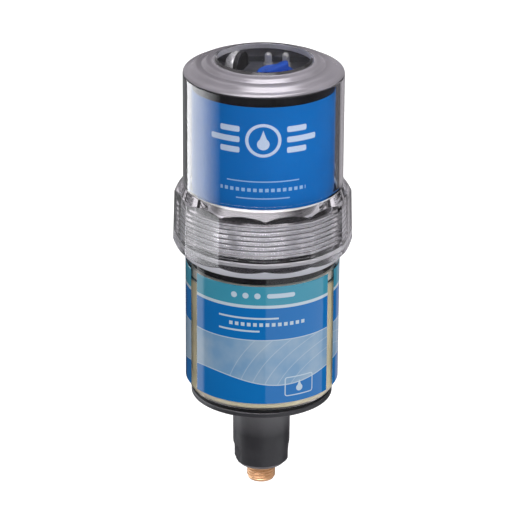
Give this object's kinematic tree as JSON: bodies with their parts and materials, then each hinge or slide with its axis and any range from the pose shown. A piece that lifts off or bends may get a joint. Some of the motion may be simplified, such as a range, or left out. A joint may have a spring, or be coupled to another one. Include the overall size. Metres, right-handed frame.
{
  "type": "automatic lubricator",
  "caption": "Upright motor-driven grease feeder: a clear canister with a threaded outlet, a labelled drive above it and a clear screw-on cover with a faceted collar.",
  "frame": {"origin": "centre of the outlet nipple's lower end, on the lubricator's axis", "axes": "+Z along the axis from the outlet up to the cover's window; the front label faces -Y"},
  "size_m": [0.076, 0.076, 0.1933],
  "materials": {
    "brass_fitting": "turned brass with a slight satin",
    "dark_moulding": "dark grey glass-filled moulding",
    "black_rubber": "smooth black rubber",
    "clear_canister": "clear moulded plastic, polished",
    "canister_label": "printed film in fields of blue, teal and pale grey-blue",
    "cream_grease": "soft cream grease",
    "white_moulding": "natural white moulding",
    "steel_spindle": "bright steel",
    "gear_plastic": "natural acetal",
    "gear_brass": "cut brass",
    "black_moulding": "black moulding, fine satin",
    "drive_label": "plain blue film",
    "bush_bronze": "sintered bronze",
    "motor_steel": "plated steel can",
    "cell_jacket": "plain printed cell jacket",
    "contact_metal": "nickel-plated sheet",
    "board": "green solder mask",
    "grey_panel": "dark grey moulding",
    "lamp_clear": "water-clear lamp",
    "dial_blue": "bright blue moulding",
    "silver_can": "drawn aluminium can",
    "pale_seal": "pale silicone ring",
    "clear_cover": "clear moulded plastic, polished wall and satin roof"
  },
  "bodies": {
    "lubricator": {"outlet_nipple": "brass_fitting", "outlet_base": "dark_moulding", "base_seal": "black_rubber", "canister": "clear_canister", "spout_seal": "black_rubber", "canister_label_front": "canister_label", "canister_label_back": "canister_label", "grease": "cream_grease", "idler_axle": "steel_spindle", "drive_housing": "black_moulding", "drive_seal": "black_rubber", "drive_label": "drive_label", "drive_floor": "black_moulding", "spindle_bush": "bush_bronze", "gear_plate": "black_moulding", "motor": "motor_steel", "battery_1": "cell_jacket", "battery_2": "cell_jacket", "battery_3": "cell_jacket", "battery_4": "cell_jacket", "contact_springs": "contact_metal", "contact_strips": "contact_metal", "cell_retainer": "black_moulding", "circuit_board": "board", "control_panel": "grey_panel", "panel_screws": "contact_metal", "signal_lamp_left": "lamp_clear", "signal_lamp_right": "lamp_clear", "capacitor": "silver_can", "capacitor_end": "black_rubber"},
    "piston": {"piston": "white_moulding", "piston_seal": "black_rubber"},
    "spindle": {"spindle": "steel_spindle", "output_gear": "gear_plastic"},
    "idler": {"idler_gear": "gear_plastic"},
    "pinion": {"motor_pinion": "gear_brass"},
    "dial": {"time_dial": "dial_blue"},
    "cover_seal": {"cover_seal": "pale_seal"},
    "cover": {"cover": "clear_cover"}
  },
  "joints": [
    {"name": "spindle_turn", "type": "hinge", "parent": "lubricator", "child": "spindle", "pos_m": [0, 0, 0.108], "axis": [0, 0, 1], "range_deg": [0, 4140]},
    {"name": "piston_feed", "type": "slide", "parent": "lubricator", "child": "piston", "axis": [0, 0, -1], "range_m": [0, 0.046], "deforming": ["grease"]},
    {"name": "idler_turn", "type": "hinge", "parent": "lubricator", "child": "idler", "pos_m": [0.00636, 0.01102, 0.11], "axis": [0, 0, 1], "range_deg": [-10350, 0]},
    {"name": "pinion_turn", "type": "hinge", "parent": "lubricator", "child": "pinion", "pos_m": [0, 0, 0.113], "axis": [0, 0, 1], "range_deg": [0, 25875]},
    {"name": "dial_turn", "type": "hinge", "parent": "lubricator", "child": "dial", "pos_m": [0.005, 0.0036, 0.1845], "axis": [0, 0, 1], "range_deg": [-300, 0]},
    {"name": "cover_lift", "type": "slide", "parent": "lubricator", "child": "cover_seal", "axis": [0, 0, 1], "range_m": [0, 0.12]},
    {"name": "cover_turn", "type": "hinge", "parent": "cover_seal", "child": "cover", "pos_m": [0, 0, 0.12], "axis": [0, 0, 1], "range_deg": [0, 1080]}
  ],
  "couplings": [
    {"joint": "piston_feed", "follows": "spindle_turn", "m_per_rad": 0.00063662},
    {"joint": "idler_turn", "follows": "spindle_turn", "ratio": -2.5},
    {"joint": "pinion_turn", "follows": "spindle_turn", "ratio": 6.25}
  ]
}
